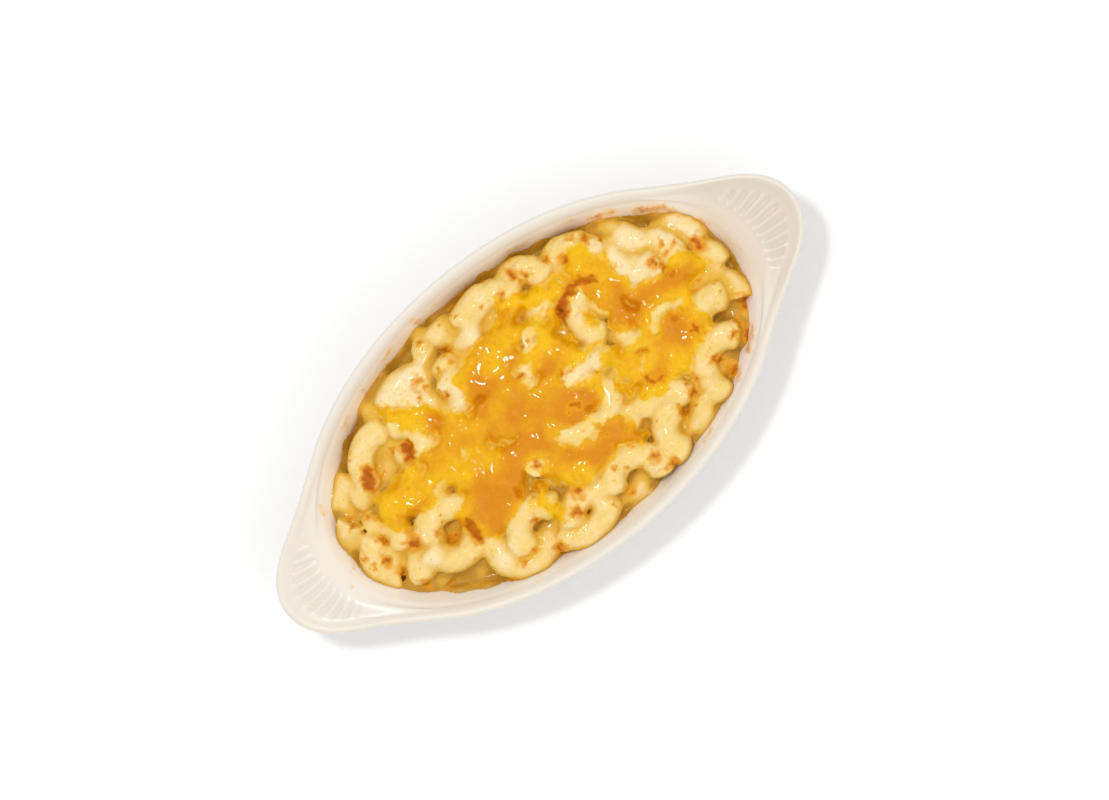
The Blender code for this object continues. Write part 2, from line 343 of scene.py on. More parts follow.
def build(name, points, face_sets):
    """Smooth mesh object from points in millimetres and arrays of faces."""
    mesh = bpy.data.meshes.new(name)
    corners = np.concatenate([faces.ravel() for faces in face_sets])
    sizes = np.concatenate([np.full(len(faces), faces.shape[1]) for faces in face_sets])
    mesh.vertices.add(len(points))
    mesh.vertices.foreach_set("co", (np.asarray(points) * MM).astype(np.float32).ravel())
    mesh.loops.add(len(corners))
    mesh.loops.foreach_set("vertex_index", corners.astype(np.int32))
    mesh.polygons.add(len(sizes))
    starts = np.concatenate([[0], np.cumsum(sizes)[:-1]])
    mesh.polygons.foreach_set("loop_start", starts.astype(np.int32))
    mesh.update(calc_edges=True)
    mesh.shade_smooth()
    piece = bpy.data.objects.new(name, mesh)
    bpy.context.scene.collection.objects.link(piece)
    return piece


def loft(name, loops, first_middle, last_middle):
    """Closed mesh through loops of points, with a fan of faces at both ends."""
    count = loops.shape[2]
    points = np.vstack([np.moveaxis(loops, 1, 2).reshape(-1, 3), first_middle, last_middle])
    row = np.arange(count)
    following = (row + 1) % count
    quads = []
    for i in range(len(loops) - 1):
        upper = i * count
        lower = upper + count
        quads.append(np.stack([upper + row, lower + row, lower + following, upper + following], axis=1))
    last = (len(loops) - 1) * count
    first_fan = np.stack([np.full(count, len(points) - 2), row, following], axis=1)
    last_fan = np.stack([np.full(count, len(points) - 1), last + following, last + row], axis=1)
    return build(name, points, [np.concatenate(quads), np.concatenate([first_fan, last_fan])]), points


def paint(piece, name, values):
    """Store one value per point for the piece's material to read."""
    layer = piece.data.attributes.new(name, "FLOAT", "POINT")
    layer.data.foreach_set("value", np.asarray(values, dtype=np.float32))


# Sauce baked on to the wall above the heap: x, y to x, y, width
BAKED = (
    (-16, 49.5, -13, 47, 1.3), (-43.5, 42, -42.5, 40.5, 1.1), (4, 47, 7, 46.6, 0.9),
    (53, 37, 61, 34, 1.2), (67, 29, 75, 24, 1.7), (75, 24, 77, 20, 1.3), (81.5, 13, 82.5, 10, 1.1),
    (72, -26, 66, -31, 1.4), (60, -34, 57, -36, 1.2), (-79, 21, -80, 18, 0.9), (25, 46, 32, 44.5, 0.8),
    (-26, 47, -31, 45.5, 0.7), (-84.5, -2, -85.5, -3, 0.8), (-88, -6.5, -88.5, -7, 0.5),
    (-37, -43, -33, -44, 0.8), (0, -52, 0.3, -52, 0.7), (84.5, 2, 85.5, -3, 0.7), (35, -45, 41, -43, 0.8),
    (-52, 38.5, -56, 36.5, 0.6), (45, 41.5, 49, 40, 0.7),
)


def stroke_distance(x, y, marks):
    """Distance to the nearest stroke's edge, below zero inside."""
    nearest = np.full(np.broadcast(x, y).shape, 1e3)
    for x0, y0, x1, y1, wide in marks:
        dx, dy = x1 - x0, y1 - y0
        share = clamp(((x - x0) * dx + (y - y0) * dy) / max(dx * dx + dy * dy, 1e-6))
        nearest = np.minimum(nearest, np.hypot(x - x0 - dx * share, y - y0 - dy * share) - wide)
    return nearest


cavity_middle = (0.0, 0.0, RIM - CAVITY[0][2])
foot_middle = (0.0, 0.0, RIM - OUTSIDE[-1][2])
dish, dish_points = loft("glazed_dish", rings, cavity_middle, foot_middle)
x, y, z = dish_points.T
top_face = np.arange(len(dish_points)) < crown * len(angles)
within_bowl = top_face & (np.hypot(x / (BOWL_A - 1.0), y / (BOWL_B - 2.5)) < 1.0)
far_side = y / 60.0
# Wall band above the heap: sauce tidemark and painted shade of the gap, more on the far side
sauce_line_and_shade = clamp((25.5 - z) / 4.0) * clamp(0.42 + far_side)
paint(dish, "stain", np.where(within_bowl, clamp(0.5 - stroke_distance(x, y, BAKED) / 4.0), 0.0))
# Depth below the rim in the bowl, placing the light and shade painted on the wall
paint(dish, "painted_light_depth", np.where(within_bowl, clamp((RIM - 0.8 - z) / 7.0), 0.0))
paint(dish, "tidemark_and_shade", np.where(within_bowl, sauce_line_and_shade, 0.0))
paint(dish, "shaded_side", clamp(0.5 + far_side))
# The right-hand end of the dish, which gets painted shade
paint(dish, "painted_shade_end", np.where(top_face, clamp((x - 76.0) / 14.0), 0.0))
glaze, tone, feed = finish("dish_glaze", {"Coat Weight": 0.15, "Coat Roughness": 0.2, "IOR": 1.42,
                                          "Subsurface Weight": 0.35, "Subsurface Scale": 0.004,
                                          "Subsurface Radius": (1.0, 0.8, 0.6)})
place = tone.place()
mottle = tone.noise(place, 45.0, 4.0, 0.55)
speck = tone.noise(place, 900.0, 1.0).step(0.79, 0.86)
cream = mottle.blend((0.735, 0.69, 0.61), (0.765, 0.725, 0.655))
# Painted shade: the right-hand end darker and browner
cream = tone.painted("painted_shade_end").blend(cream, (0.68, 0.60, 0.515))
# Painted light near the heap: whiter near side, painted warm reflection of the food on the far side
painted_wall_light = tone.painted("shaded_side").blend((0.99, 0.985, 0.98), (0.99, 0.86, 0.70))
tinted = (tone.painted("painted_light_depth") * 0.9).blend(cream, painted_wall_light)
# Painted shade on the slope down from the right-hand ear
painted_shade_slope = tone.painted("painted_shade_end").step(0.2, 0.8) * tone.painted("painted_light_depth").step(0.0, 0.3) * 0.8
tinted = painted_shade_slope.blend(tinted, (0.74, 0.62, 0.50))
# Sauce tidemark on the wall, deepened with painted shade of the gap
tide_and_shade = tone.painted("tidemark_and_shade") + (mottle - 0.5) * 0.7
tinted = (tide_and_shade.step(0.25, 1.0) * 0.85).blend(tinted, (0.56, 0.30, 0.05))
ragged = tone.painted("stain") + (tone.noise(place, 420.0, 3.0, 0.6) - 0.5) * 1.1
tinted = (ragged.step(0.40, 0.80) * 0.65).blend(tinted, (0.87, 0.52, 0.13))
tinted = (ragged.step(0.66, 1.05) * 0.8).blend(tinted, (0.62, 0.23, 0.015))
feed(Base_Color=(speck * 0.4).blend(tinted, (0.42, 0.30, 0.18)),
     Roughness=mottle * 0.12 + 0.40,
     Normal=tone.bump(tone.noise(place, 160.0, 2.0), 0.12, 0.0006))
dish.data.materials.append(glaze)
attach(dish, "root")
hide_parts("dish")

# ---------------------------------------------------------------------------
# Elbow macaroni: short bent tubes of boiled pasta, heaped two or three deep.
# Each lies where it comes to rest on those below it; the ones that show are
# laid one by one, and the rest are scattered underneath.
# ---------------------------------------------------------------------------
TUBE = 4.6
BORE = 2.6
FLATTENING = 0.95
HEAP_EDGE = 26.6
HEAP_RISE = 7.2
HEAP_HALF_LENGTH = 83.0
HEAP_HALF_WIDTH = 47.0
draw = random.Random(20417)


def cavity_axes(z):
    """Half length and half width of the dish's inside at height z."""
    drops = [oval[2] for oval in CAVITY[2:]][::-1]
    ends = [oval[0] for oval in CAVITY[2:]][::-1]
    sides = [oval[1] for oval in CAVITY[2:]][::-1]
    drop = RIM - np.asarray(z)
    return BOWL_A - np.interp(drop, drops, ends), BOWL_B - np.interp(drop, drops, sides)


def wall_share(x, y, z):
    """How far out a point lies, 1 on the dish's inner wall, and its slopes."""
    half_length, half_width = cavity_axes(z)
    return np.hypot(x / half_length, y / half_width), x / half_length ** 2, y / half_width ** 2


def heap_top(x, y):
    """Height that the heap rises to over a point of the plan."""
    out = np.minimum(np.hypot(x / HEAP_HALF_LENGTH, y / HEAP_HALF_WIDTH), 1.0)
    return HEAP_EDGE + HEAP_RISE * (1.0 - out ** 2.3)


# The elbows that show: middle of the bend x, y, the way its bulge points in
# degrees, bend radius, half of its arc in degrees, tip, pitch and lift
SHOWN = (
    (-56.5, 24.0, 122, 12.0, 52, 0, 0, 1.0), (-74.5, 15.5, 140, 9.0, 50, 0, 0, 1.0),
    (-62.5, 12.0, 20, 9.0, 50, 0, 0, -0.5), (-77.0, 5.0, 170, 8.0, 55, 0, 20, 0.5),
    (-77.0, -5.5, 185, 8.5, 58, 0, 0, 0.0), (-66.0, 0.5, 30, 8.5, 55, 0, 10, -0.5),
    (-69.8, -14.2, 215, 8.0, 58, 0, 12, 0.5), (-47.5, 23.5, 40, 8.5, 56, 0, 0, 0.0),
    (-37.5, 19.0, 15, 8.5, 56, 0, 0, 1.0), (-42.8, 34.5, 125, 9.0, 50, 0, 0, 1.0),
    (-29.3, 37.0, 84, 10.5, 50, 0, 0, 1.0), (-17.5, 34.5, 165, 7.5, 60, 25, 0, 0.5),
    (-25.5, 23.5, 250, 9.5, 58, 0, 0, 1.0), (-17.5, 20.0, 330, 8.5, 56, 0, 0, 0.5),
    (-7.0, 38.0, 60, 8.0, 54, 0, 0, 1.0), (8.5, 39.0, 90, 14.0, 44, 0, 0, 2.0),
    (-7.5, 29.5, 130, 8.5, 60, 0, 0, 0.0), (4.0, 30.5, 275, 9.0, 52, 0, 0, -0.5),
    (23.0, 37.5, 70, 7.5, 56, 30, 0, 2.0), (29.5, 29.5, 240, 9.5, 54, 0, 0, 0.0),
    (40.0, 33.0, 82, 9.5, 58, 0, 0, 1.5), (52.5, 28.5, 55, 8.5, 54, 0, 0, 1.0),
    (53.0, 17.0, 190, 12.0, 50, 0, 0, 1.0), (64.5, 18.5, 30, 11.0, 54, 0, 0, 1.5),
    (58.0, 8.5, 265, 9.0, 56, 0, 0, 1.0), (76.0, 13.5, 20, 7.0, 70, 10, 0, 1.5),
    (71.0, 5.0, 235, 9.0, 56, 0, 0, 0.5), (79.0, -3.5, 350, 8.0, 50, 0, 0, -3.5),
    (72.5, -8.0, 42, 8.5, 62, 0, 0, 1.5), (63.0, -10.0, 130, 9.0, 58, 0, 0, 1.0),
    (69.5, -20.0, 350, 9.0, 55, 0, 0, 0.0), (55.5, -22.0, 110, 9.5, 56, 0, 0, 1.0),
    (47.5, -27.0, 60, 9.0, 58, 0, 0, 1.0), (59.0, -29.0, 300, 8.5, 50, 0, 0, -0.5),
    (35.5, -39.5, 272, 9.5, 68, 0, 0, 1.0), (28.5, -33.0, 160, 8.5, 56, 0, 0, 0.5),
    (33.5, -24.0, 70, 8.5, 56, 0, 0, 0.5), (7.0, -43.0, 272, 13.0, 42, 0, 0, 0.0),
    (11.5, -32.5, 72, 9.0, 82, 0, 0, 2.5), (-12.0, -42.5, 268, 12.0, 50, 0, 0, 1.5),
    (-9.0, -33.5, 95, 8.0, 60, 0, 0, 0.5), (-21.5, -33.5, 330, 8.0, 56, 0, 0, -0.5),
    (-40.0, -35.5, 222, 8.8, 78, 0, 0, 1.5), (-28.5, -25.0, 110, 8.6, 72, 0, 0, 1.5),
    (-53.5, -21.0, 255, 9.0, 72, 0, 0, 1.5), (-48.5, -7.5, 92, 11.0, 58, 0, 0, 1.5),
    (-61.5, -12.5, 120, 8.0, 58, 0, 0, 0.5), (-64.5, -20.0, 240, 8.5, 55, 0, 0, -0.5),
    (-52.0, 3.0, 280, 9.0, 58, 0, 0, 0.0), (-38.0, 3.0, 60, 8.5, 58, 0, 0, 0.0),
    (-27.0, 11.0, 100, 9.0, 58, 0, 0, 0.0), (-35.0, -13.0, 200, 8.5, 60, 0, 0, 0.0),
    (-23.0, -3.0, 10, 8.5, 58, 0, 0, 0.0), (-15.6, -12.4, 45, 7.5, 60, -88, 30, -0.2),
    (-10.0, 8.0, 140, 8.5, 58, 0, 0, 0.0), (-12.0, 24.0, 260, 8.5, 58, 0, 0, 0.0),
    (13.3, 14.5, 200, 7.5, 60, -88, 30, -0.2), (3.0, 9.0, 155, 8.5, 58, 0, 0, 0.5),
    (2.0, -3.0, 290, 9.0, 60, 0, 0, 0.0), (3.0, 21.0, 100, 9.0, 56, 0, 0, 0.0),
    (4.5, -16.0, 230, 8.5, 58, 0, 0, 0.5), (21.0, -12.5, 340, 9.5, 56, 0, 0, 0.5),
    (19.0, 0.5, 80, 9.0, 58, 0, 0, 0.5), (29.0, 13.0, 170, 10.5, 52, 0, 0, 0.5),
    (36.0, 1.5, 40, 9.5, 56, 0, 0, 0.5), (23.0, 26.0, 110, 9.0, 54, 0, 0, 0.0),
    (42.0, 19.0, 350, 9.5, 56, 0, 0, 0.0), (33.0, -9.0, 250, 8.5, 58, 0, 0, 0.0),
    (45.0, -12.5, 20, 8.5, 58, 0, 0, 0.0), (52.5, -2.0, 95, 9.5, 54, 0, 0, 0.5),
    (15.5, -23.0, 265, 9.0, 58, 0, 0, 0.0), (-8.0, -23.5, 200, 8.5, 56, 0, 0, 0.0),
    (-2.0, 14.0, 300, 8.5, 56, 0, 0, -1.0),
)
UNDERNEATH = 26
GOLDEN_ANGLE = 2.39996
HOLD_SHOWN = 0.35
HOLD_HIDDEN = 0.03

# Every elbow: aim x, y, lift, way, bend radius, half arc, tip, pitch and how
# firmly it is held where it was laid
laid = []
for x, y, way, bend, arc, tip, pitch, lift in SHOWN:
    laid.append((x, y, lift - 0.5, way, bend, arc, tip + draw.uniform(-8, 8), pitch + draw.uniform(-8, 8),
                 HOLD_SHOWN))
for number in range(UNDERNEATH):
    out = math.sqrt((number + 0.5) / UNDERNEATH) * 0.9
    around = number * GOLDEN_ANGLE
    laid.append((74.0 * out * math.cos(around), 38.0 * out * math.sin(around), -7.0, draw.uniform(0, 360),
                 draw.uniform(7.5, 9.5), draw.uniform(52, 66), draw.uniform(-20, 20), draw.uniform(-20, 20),
                 HOLD_HIDDEN))
elbow_count = len(laid)
aim_x, aim_y, lift, way, bend, arc, tip, pitch, hold = np.array(laid).T
arc = np.radians(arc)
tube = np.array([TUBE * draw.uniform(0.95, 1.06) for _ in laid])
heading = np.radians(way - 90.0)
tip = np.radians(tip)
pitch = np.radians(pitch)
ch, sh, ct, st = np.cos(heading), np.sin(heading), np.cos(tip), np.sin(tip)
cp, sp = np.cos(pitch), np.sin(pitch)
ahead = np.stack([ch * cp, sh * cp, sp], axis=1)
bulge = np.stack([-sh * ct - ch * sp * st, ch * ct - sh * sp * st, cp * st], axis=1)
normal = np.stack([sh * st - ch * sp * ct, -ch * st - sh * sp * ct, cp * ct], axis=1)

# Each elbow is a stiff chain of beads, balanced about its own middle
CHAIN = 9
turn = np.linspace(-1.0, 1.0, CHAIN)[None, :] * (arc * 0.93)[:, None]
along_chain = bend[:, None] * np.sin(turn)
across_chain = bend[:, None] * (np.cos(turn) - 1.0)
balance = across_chain.mean(axis=1)
across_chain = across_chain - balance[:, None]
middle = np.stack([aim_x, aim_y, heap_top(aim_x, aim_y) - tube + lift], axis=1)
middle = middle + balance[:, None] * bulge * np.array([1.0, 1.0, 0.0])
first_middle, first_ahead, first_bulge = middle.copy(), ahead.copy(), bulge.copy()
radius = np.repeat(tube, CHAIN)
owner = np.repeat(np.arange(elbow_count), CHAIN)
apart = owner[:, None] != owner[None, :]
SQUASH = 0.93
touching = (radius[:, None] + radius[None, :]) * SQUASH

# Push the tubes apart, against each other, the wall and the bed below, and
# let each elbow shift, sink and tilt a little until the heap lies snug
SETTLING = 90
BED_DEPTH = 14.0
ROOF_SLACK = 2.2
WALL_GAP = 0.4
SINKING = 0.04
for _ in range(SETTLING):
    beads = (middle[:, None, :] + along_chain[:, :, None] * ahead[:, None, :]
             + across_chain[:, :, None] * bulge[:, None, :]).reshape(-1, 3)
    gap_x = beads[:, None, 0] - beads[None, :, 0]
    gap_y = beads[:, None, 1] - beads[None, :, 1]
    gap_z = beads[:, None, 2] - beads[None, :, 2]
    away = np.sqrt(gap_x ** 2 + gap_y ** 2 + gap_z ** 2) + 1e-6
    press = np.where(apart & (away < touching), (touching - away) / away * 0.5, 0.0)
    push = np.stack([(gap * press).sum(axis=1) for gap in (gap_x, gap_y, gap_z)], axis=1)
    roof = heap_top(beads[:, 0], beads[:, 1])
    push[:, 2] += np.maximum(roof - BED_DEPTH + radius - beads[:, 2], 0.0) * 0.5
    push[:, 2] -= np.maximum(beads[:, 2] + radius - roof - ROOF_SLACK, 0.0) * 0.6
    inner, steep_x, steep_y = wall_share(beads[:, 0], beads[:, 1], np.clip(beads[:, 2], 5.0, 30.0))
    inner = inner + 1e-6
    steep = np.hypot(steep_x, steep_y) + 1e-9
    into = np.maximum(inner * (inner - 1.0) / steep + radius + WALL_GAP, 0.0)
    push[:, 0] -= into * steep_x / steep * 0.8
    push[:, 1] -= into * steep_y / steep * 0.8
    push[:, 2] += into * 0.25 - SINKING
    push = push.reshape(elbow_count, CHAIN, 3)
    arm = beads.reshape(elbow_count, CHAIN, 3) - middle[:, None, :]
    twist = np.cross(arm, push).sum(axis=1) / (arm ** 2).sum(axis=(1, 2))[:, None] * (0.3, 0.3, 0.4)
    middle = middle + np.clip(push.mean(axis=1) * 1.6, -0.8, 0.8)
    middle += (first_middle - middle) * hold[:, None]
    for axes in (ahead, bulge, normal):
        axes += np.cross(twist, axes)
    ahead += (first_ahead - ahead) * hold[:, None]
    bulge += (first_bulge - bulge) * hold[:, None]
    ahead /= np.sqrt((ahead ** 2).sum(axis=1))[:, None]
    bulge -= ahead * (bulge * ahead).sum(axis=1)[:, None]
    bulge /= np.sqrt((bulge ** 2).sum(axis=1))[:, None]
    normal = np.cross(ahead, bulge)

elbows = []
for i in range(elbow_count):
    elbows.append({"bend": float(bend[i]), "arc": float(arc[i]), "tube": float(tube[i]),
                   "bore": BORE * float(tube[i]) / TUBE, "axes": (ahead[i], bulge[i], normal[i]),
                   "middle": middle[i] - balance[i] * bulge[i]})


def centre_line(elbow, count):
    """Points along the middle of the tube."""
    forward, outward, _ = elbow["axes"]
    steps = np.linspace(-elbow["arc"], elbow["arc"], count)[:, None]
    return elbow["middle"] + elbow["bend"] * (np.sin(steps) * forward + (np.cos(steps) - 1.0) * outward)


# Each tube is swept along its outside, over a rounded lip and back through
# its bore, a little out of round and wavy
AROUND = 18
OUTER_RINGS = 19
BORE_RINGS = 9
spin = np.linspace(0.0, 2.0 * math.pi, AROUND, endpoint=False)
pasta_points = []
pasta_faces = []
for number, elbow in enumerate(elbows):
    ahead, bulge, normal = elbow["axes"]
    outer, bore, arc, bend = elbow["tube"], elbow["bore"], elbow["arc"], elbow["bend"]
    lip = ((outer, -0.45), (outer - 0.13, -0.12), (outer - 0.45, 0.0), (bore + 0.45, 0.0),
           (bore + 0.12, -0.12), (bore, -0.45))
    loops = [(angle, outer, 0.0) for angle in np.linspace(-arc * 0.96, arc * 0.96, OUTER_RINGS)]
    loops += [(arc, radius, slip) for radius, slip in lip]
    loops += [(angle, bore, 0.0) for angle in np.linspace(arc * 0.9, -arc * 0.9, BORE_RINGS)]
    loops += [(-arc, radius, -slip) for radius, slip in reversed(lip)]
    phase = draw.uniform(0.0, 6.28)
    other_phase = draw.uniform(0.0, 6.28)
    for angle, radius, slip in loops:
        along = math.cos(angle) * ahead - math.sin(angle) * bulge
        outward = math.sin(angle) * ahead + math.cos(angle) * bulge
        centre = elbow["middle"] + bend * (math.sin(angle) * ahead + (math.cos(angle) - 1.0) * bulge)
        centre = centre + slip * along
        swell = 1.0 + 0.022 * np.sin(2.0 * spin + phase)
        swell = swell + 0.018 * np.sin(3.0 * spin + 4.0 * angle + other_phase)
        swell = swell * (1.0 + 0.02 * math.sin(5.0 * angle + phase))
        ring = np.cos(spin)[:, None] * outward + FLATTENING * np.sin(spin)[:, None] * normal
        pasta_points.append(centre + radius * swell[:, None] * ring)
    start = number * len(loops) * AROUND
    row = np.arange(AROUND)
    following = (row + 1) % AROUND
    for i in range(len(loops)):
        upper = start + i * AROUND
        lower = start + ((i + 1) % len(loops)) * AROUND
        quads = np.stack([upper + row, upper + following, lower + following, lower + row], axis=1)
        pasta_faces.append(quads)
pasta_points = np.concatenate(pasta_points)
pasta = build("elbow_macaroni", pasta_points, [np.concatenate(pasta_faces)])

# Milky sauce colour, also used as painted highlight on the thick patches
MILKY_AND_HIGHLIGHT = (0.92, 0.79, 0.53)
GOLDEN = (0.80, 0.54, 0.11)
# Painted shade in the creases between the elbows, and in the deepest of them
CREASE_SHADE = (0.77, 0.46, 0.05)
DEEP_CREASE_SHADE = (0.52, 0.28, 0.03)
CHEDDAR_EDGE = (0.85, 0.53, 0.06)
CHEDDAR_YELLOW = (0.86, 0.49, 0.003)
CHEDDAR_ORANGE = (0.68, 0.245, 0.003)
# Brown line where the food meets the wall: browning and painted shade
BAKED_AND_SHADED_AT_WALL = (0.52, 0.24, 0.015)
SPECKS = (0.74, 0.34, 0.03)
GOLDEN_BROWN = (0.76, 0.33, 0.010)
BROWN = (0.52, 0.14, 0.002)
SCORCH = (0.40, 0.08, 0.006)


def food_skin(name, looks, pale, warm, roughness, grain):
    """Material of a food: its own two tones, then what is painted on it.

    The painted values are worked out in the last section: milky sauce whose
    thick patches are partly painted highlight, painted shade in the creases,
    cheddar, the brown line at the wall, which is partly painted shade, and the
    browned places.
    """
    material, tone, feed = finish(name, {"IOR": 1.4, "Subsurface Scale": 0.002, **looks})
    place = tone.place()
    cloud = tone.noise(place, 110.0, 3.0)
    patch = tone.noise(place, 300.0, 2.0, 0.55)
    fine = tone.noise(place, 700.0, 3.0, 0.6)
    uneven = (cloud - 0.5) * 0.5 + (patch - 0.5) * 0.7
    base = (cloud * 0.4 + patch * 0.6).step(0.42, 0.62).blend(warm, pale)
    # Paler places: milky sauce at random, and thick patches partly painted highlight
    lighter = (patch * 0.5 + fine * 0.5).step(0.54, 0.64) + tone.painted("cream")
    base = (lighter * 0.55).blend(base, MILKY_AND_HIGHLIGHT)
    darker = (patch * 0.4 + fine * 0.6).step(0.47, 0.36)
    base = (darker * 0.45).blend(base, GOLDEN)
    # Painted shade: darker golden where the food lies low and in the gap at the wall
    crease_shade = tone.painted("crease_shade") + uneven * 0.35
    base = crease_shade.step(0.05, 0.5).blend(base, CREASE_SHADE)
    base = crease_shade.step(0.5, 1.1).blend(base, DEEP_CREASE_SHADE)
    edge = tone.painted("cheese") + (fine - 0.5) * 0.5 + (patch - 0.5) * 0.5
    depth = tone.painted("body") + uneven * 0.55 + (fine - 0.5) * 0.5 + 0.08
    base = (edge.step(0.22, 0.52) * 0.8).blend(base, CHEDDAR_EDGE)
    base = edge.step(0.44, 0.66).blend(base, depth.step(0.0, 0.95).blend(CHEDDAR_YELLOW, CHEDDAR_ORANGE))
    # Brown line at the wall: browning, and painted shade of the gap
    base = (tone.painted("wall") * 0.7).blend(base, BAKED_AND_SHADED_AT_WALL)
    base = (tone.noise(place, 520.0, 1.0).step(0.69, 0.77) * 0.45).blend(base, SPECKS)
    toasted = tone.painted("toast") + (fine - 0.5) * 1.0 + (patch - 0.5) * 0.6
    base = (toasted.step(0.0, 0.5) * 0.85).blend(base, GOLDEN_BROWN)
    base = (toasted.step(0.48, 1.0) * 0.9).blend(base, BROWN)
    base = (toasted.step(0.85, 1.5) * 0.9).blend(base, SCORCH)
    feed(Base_Color=base,
         Coat_Weight=(1.0 - toasted.step(0.05, 0.6)) * 0.32,
         Roughness=fine * 0.2 + roughness,
         Normal=tone.bump(tone.noise(place, grain, 4.0, 0.6), 0.5, 0.001))
    return material


pasta_looks = {"Subsurface Weight": 0.15, "Subsurface Radius": (1.0, 0.55, 0.2),
               "Specular IOR Level": 0.18, "Coat Roughness": 0.1}
pasta.data.materials.append(
    food_skin("boiled_pasta", pasta_looks, (0.88, 0.665, 0.28), (0.855, 0.61, 0.18), 0.42, 480.0))
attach(pasta, "root")
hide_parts("macaroni")

# ---------------------------------------------------------------------------
# Cheese sauce between the elbows: a thick milky sauce that clings to them,
# fills the creases where they touch and stands in the bottom of the heap. It
# is the surface at a small distance from all the tubes, melted together.
# ---------------------------------------------------------------------------
VOXEL = 0.55
POOL = 21.2
CLING = 1.5
COAT_LOW = 17.0
FLAT_JOIN = 0.012
PALE_SAUCE = (0.885, 0.68, 0.30)
WARM_SAUCE = (0.855, 0.62, 0.20)
span_x = np.arange(-84.5, 84.5, VOXEL)
span_y = np.arange(-49.0, 49.0, VOXEL)
span_z = np.arange(COAT_LOW - 2 * VOXEL, 42.0, VOXEL)
space_x, space_y, space_z = np.meshgrid(span_x, span_y, span_z, indexing="ij", sparse=True)


def waves(x, y, z, size, seed, count=7):
    """Smooth uneven field between about -1 and 1 with lumps of one size."""
    pick = random.Random(seed)
    total = 0.0
    for _ in range(count):
        way = [pick.gauss(0.0, 1.0) for _ in range(3)]
        long = math.sqrt(sum(v * v for v in way))
        k = 2.0 * math.pi / (size * pick.uniform(0.75, 1.5)) / long
        total = total + np.sin(k * (way[0] * x + way[1] * y + way[2] * z) + pick.uniform(0.0, 6.28))
    return total / math.sqrt(count) * 0.9


def melt(first, second, soft):
    """Smooth union of two distances."""
    share = np.maximum(soft - np.abs(first - second), 0.0) / soft
    return np.minimum(first, second) - share * share * soft / 4.0


# Thick pale patches where the sauce has pooled on top, their paler colour
# partly painted highlight: x, y to x, y, radius
CREAM = (
    (-38, 34, -25, 35, 4), (-30, 27, -19, 20, 5), (50, 26, 52, 12, 4), (59, 24, 60, 12, 4),
    (70, 18, 75, 12, 4), (-62, -16, -60, -17, 3), (17, 0, 25, -2, 3), (5, 32, -6, 31, 3),
    (-43, -33, -38, -31, 2.5),
)


def cream_mask(x, y):
    """1 in the middle of the thick patches of sauce, fading to 0 around them."""
    return clamp(0.5 - stroke_distance(x, y, CREAM) / 4.0)


# Ends of tubes that stay open: x, y
OPEN_ENDS = ((-75, 6), (-72, -13.5), (12, 18), (-13, -15), (21, 39), (59, -19), (75, -19), (75, 13))

FILL_DEPTH = 4.5
EDGE_DROP = 3.5
PLUG_DEPTH = 1.1
out_share = np.hypot(space_x / HEAP_HALF_LENGTH, space_y / HEAP_HALF_WIDTH)
roof = heap_top(space_x, space_y) - EDGE_DROP * clamp(out_share - 0.85) / 0.15
pool = POOL + 0.5 * waves(space_x, space_y, 0.0, 15.0, 50)
sauce_field = np.minimum(space_z - pool, (space_z - (roof - FILL_DEPTH)) * 0.9)
sauce_field = sauce_field + np.zeros((len(span_x), len(span_y), len(span_z)))
pasta_field = np.full(sauce_field.shape, 50.0)


def cells_round(line, margin):
    """The part of the grid that lies round a tube."""
    cut = []
    for axis, span in enumerate((span_x, span_y, span_z)):
        start = max(int((line[:, axis].min() - margin - span[0]) / VOXEL), 0)
        stop = min(int((line[:, axis].max() + margin - span[0]) / VOXEL) + 2, len(span))
        cut.append(slice(start, stop))
    return tuple(cut)


def sauce_film(x, y, z, near_end):
    """Thickness of the sauce on a tube, uneven, and thicker over its ends."""
    film = 0.24 + 0.18 * waves(x, y, z, 12.0, 5) + 0.17 * waves(x, y, z, 4.2, 6, 5)
    return np.maximum(film + 0.07 * waves(x, y, z, 2.0, 7, 5), 0.2 * near_end) + 0.8 * cream_mask(x, y)


for elbow in elbows:
    line = centre_line(elbow, 13)
    cut = cells_round(line, elbow["tube"] + CLING + 0.6)
    if cut[2].stop <= cut[2].start:
        continue
    x3, y3, z3 = np.broadcast_arrays(space_x[cut[0], :, :], space_y[:, cut[1], :], space_z[:, :, cut[2]])
    ahead, bulge, normal = elbow["axes"]
    outer, bore, arc, bend = elbow["tube"], elbow["bore"], elbow["arc"], elbow["bend"]
    pivot = elbow["middle"] - bend * bulge
    px, py, pz = x3 - pivot[0], y3 - pivot[1], z3 - pivot[2]
    u = px * ahead[0] + py * ahead[1] + pz * ahead[2]
    v = px * bulge[0] + py * bulge[1] + pz * bulge[2]
    w = (px * normal[0] + py * normal[1] + pz * normal[2]) / FLATTENING
    beyond = np.abs(u) * math.cos(arc) - v * math.sin(arc)
    past_end = np.abs(u) * math.sin(arc) + v * math.cos(arc)
    radial = np.where(beyond > 0.0, past_end - bend, np.hypot(u, v) - bend)
    q = np.hypot(radial, w)
    shell = np.maximum(np.maximum(q - outer, bore - q), beyond)
    pasta_field[cut] = np.minimum(pasta_field[cut], shell)
    near_end = clamp((beyond + 3.5) / 3.0)
    film = sauce_film(x3, y3, z3, near_end)
    coat = np.hypot(q, np.maximum(beyond, 0.0) * 1.7) - outer - film - 0.35 * near_end
    for side, tip in ((-1.0, line[0]), (1.0, line[-1])):
        if any(math.hypot(tip[0] - x, tip[1] - y) < 4.5 for x, y in OPEN_ENDS):
            plug = np.minimum(bore - 1.4 - q, beyond + PLUG_DEPTH)
            hollow = np.maximum(np.maximum(q - outer - film, plug), beyond - 0.1)
            coat = np.where(u * side > 0.0, hollow, coat)
    sauce_field[cut] = melt(sauce_field[cut], coat, CLING)

